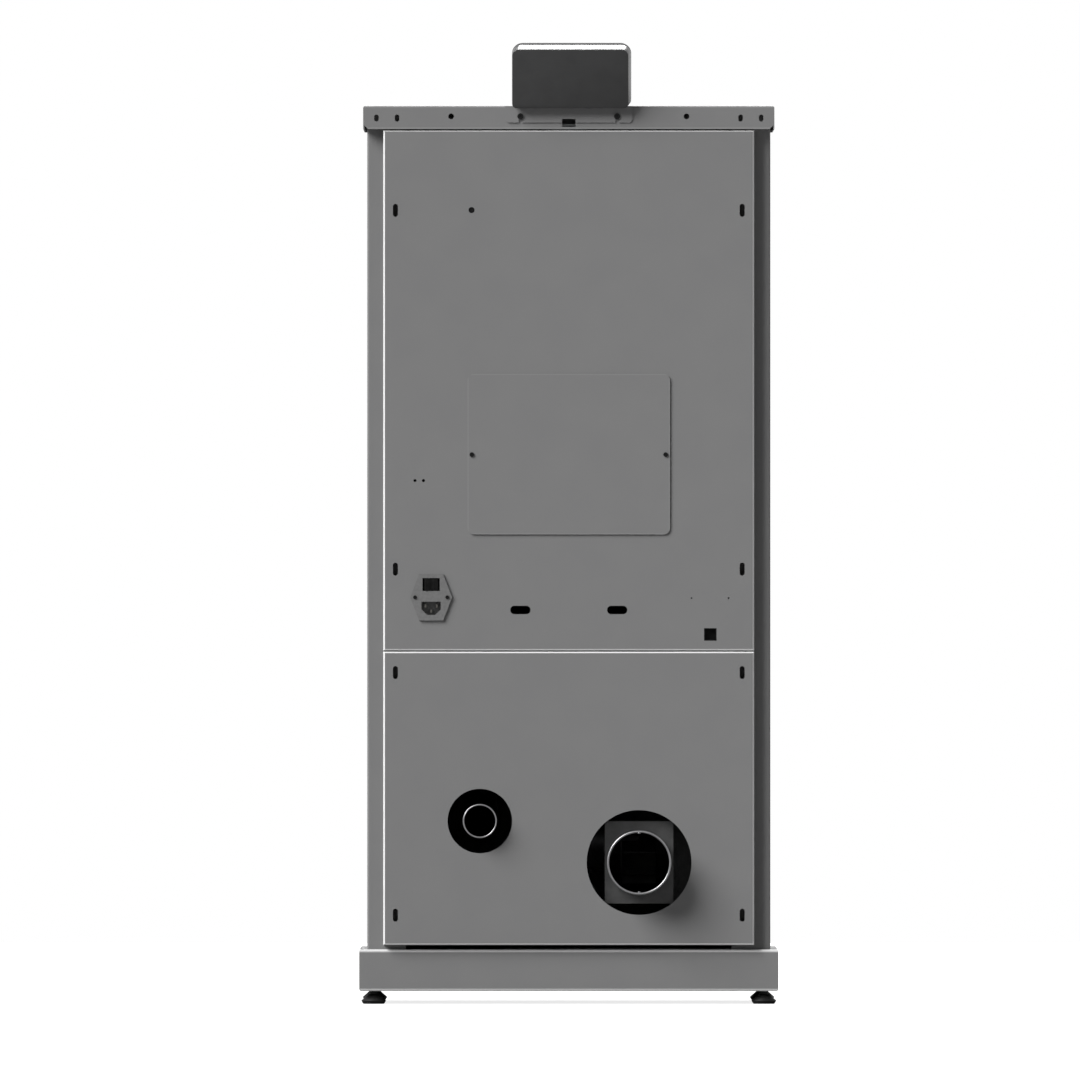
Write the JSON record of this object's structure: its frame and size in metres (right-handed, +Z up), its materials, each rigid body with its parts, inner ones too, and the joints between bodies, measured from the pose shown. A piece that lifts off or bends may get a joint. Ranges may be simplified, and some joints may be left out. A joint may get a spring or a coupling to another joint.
{
  "type": "pellet stove",
  "caption": "Free-standing pellet stove of folded sheet with hopper lid, fire door, ash drawer, tilting display, fans, auger, flue spigot and air intake.",
  "frame": {"origin": "on the floor, under the middle of the stove's overall box", "axes": "+Z up, -Y towards the fire door, +Y out of the back with the flue and the air intake"},
  "size_m": [0.52, 0.603, 1.1917],
  "materials": {
    "painted_sheet": "fine-textured grey powder coat",
    "black_plastic": "matt black moulded plastic",
    "rocker_plastic": "smooth black rocker",
    "black_steel": "black oxide steel",
    "display_shell": "dark grey satin plastic",
    "display_glass": "black glossy front",
    "bright_steel": "bright steel",
    "galvanised_sheet": "galvanised sheet",
    "dark_iron": "heat-proof black on steel and iron",
    "motor_housing": "dark motor and gearbox housings",
    "rotor_plastic": "thin pressed blades",
    "bronze": "sintered bronze",
    "pin_brass": "plated contact pins",
    "lining_board": "pressed vermiculite boards",
    "rope_gasket": "glass-fibre rope",
    "window_glass": "heat-proof ceramic glass",
    "circuit_board": "green board with relays"
  },
  "bodies": {
    "cabinet": {"plinth": "painted_sheet", "side_panel_left": "painted_sheet", "side_panel_right": "painted_sheet", "front_frame": "painted_sheet", "rear_panel_upper": "painted_sheet", "rear_panel_lower": "painted_sheet", "access_cover": "painted_sheet", "top_cap": "painted_sheet", "display_bracket": "painted_sheet", "lower_front_panel": "painted_sheet", "air_grille": "painted_sheet", "power_inlet": "black_plastic", "data_socket": "black_plastic", "safety_thermostat": "black_plastic", "pressure_switch": "black_plastic", "panel_screws": "black_steel", "door_hinges": "black_steel", "latch_keeper": "black_steel", "hinge_pins": "bright_steel", "hopper_guard": "bright_steel", "igniter": "bright_steel", "flue_spigot": "bright_steel", "air_intake_pipe": "bright_steel", "hopper": "galvanised_sheet", "hopper_throat": "galvanised_sheet", "auger_tube": "galvanised_sheet", "drop_chute": "galvanised_sheet", "smoke_duct": "galvanised_sheet", "exhaust_housing": "galvanised_sheet", "fan_shelf": "galvanised_sheet", "room_fan_housing": "galvanised_sheet", "firebox": "dark_iron", "pot_holder": "dark_iron", "heat_pipes": "dark_iron", "auger_gearmotor": "motor_housing", "exhaust_motor": "motor_housing", "room_fan_motor": "motor_housing", "auger_bush": "bronze", "inlet_pins": "pin_brass", "firebox_lining": "lining_board", "control_board": "circuit_board"},
    "foot_front_left": {"foot_front_left": "black_plastic"},
    "foot_front_right": {"foot_front_right": "black_plastic"},
    "foot_rear_left": {"foot_rear_left": "black_plastic"},
    "foot_rear_right": {"foot_rear_right": "black_plastic"},
    "display": {"display_housing": "display_shell", "display_screen": "display_glass"},
    "lid": {"hopper_lid": "painted_sheet", "lid_gasket": "rope_gasket"},
    "auger": {"auger_screw": "bright_steel"},
    "smoke_rotor": {"exhaust_impeller": "bright_steel"},
    "air_rotor": {"room_fan_rotor": "rotor_plastic"},
    "rocker": {"inlet_rocker": "rocker_plastic"},
    "door": {"fire_door": "painted_sheet", "door_glass": "window_glass", "glass_clips": "bright_steel", "door_gasket": "rope_gasket"},
    "handle": {"door_handle": "bright_steel"},
    "drawer": {"ash_drawer": "painted_sheet"},
    "pot": {"burn_pot": "dark_iron"}
  },
  "joints": [
    {"name": "fire_door", "type": "hinge", "parent": "cabinet", "child": "door", "pos_m": [-0.237, -0.2505, 0.62], "axis": [0, 0, -1], "range_deg": [0, 110]},
    {"name": "door_handle", "type": "hinge", "parent": "door", "child": "handle", "pos_m": [0.219, -0.27, 0.62], "axis": [0, 1, 0], "range_deg": [0, 80]},
    {"name": "hopper_lid", "type": "hinge", "parent": "cabinet", "child": "lid", "pos_m": [0, 0.2045, 1.1045], "axis": [-1, 0, 0], "range_deg": [0, 85]},
    {"name": "ash_drawer", "type": "slide", "parent": "cabinet", "child": "drawer", "axis": [0, -1, 0], "range_m": [0, 0.2]},
    {"name": "burn_pot_lift", "type": "slide", "parent": "cabinet", "child": "pot", "axis": [0, 0, 1], "range_m": [0, 0.06]},
    {"name": "auger_turn", "type": "hinge", "parent": "cabinet", "child": "auger", "pos_m": [0, 0.1565, 0.62], "axis": [0, -0.7071, 0.7071], "continuous": true},
    {"name": "exhaust_fan_turn", "type": "hinge", "parent": "cabinet", "child": "smoke_rotor", "pos_m": [-0.0872, 0.0915, 0.2045], "axis": [1, 0, 0], "continuous": true},
    {"name": "room_fan_turn", "type": "hinge", "parent": "cabinet", "child": "air_rotor", "pos_m": [-0.072, 0.1425, 0.3772], "axis": [1, 0, 0], "continuous": true},
    {"name": "display_tilt", "type": "hinge", "parent": "cabinet", "child": "display", "pos_m": [0, 0.263, 1.12417], "axis": [1, 0, 0], "range_deg": [-15, 19]},
    {"name": "mains_rocker", "type": "hinge", "parent": "cabinet", "child": "rocker", "pos_m": [0.1707, 0.2535, 0.5202], "axis": [0, 0, -1], "range_deg": [0, 16]},
    {"name": "foot_front_left_screw", "type": "slide", "parent": "cabinet", "child": "foot_front_left", "axis": [0, 0, -1], "range_m": [0, 0.012]},
    {"name": "foot_front_right_screw", "type": "slide", "parent": "cabinet", "child": "foot_front_right", "axis": [0, 0, -1], "range_m": [0, 0.012]},
    {"name": "foot_rear_left_screw", "type": "slide", "parent": "cabinet", "child": "foot_rear_left", "axis": [0, 0, -1], "range_m": [0, 0.012]},
    {"name": "foot_rear_right_screw", "type": "slide", "parent": "cabinet", "child": "foot_rear_right", "axis": [0, 0, -1], "range_m": [0, 0.012]}
  ]
}
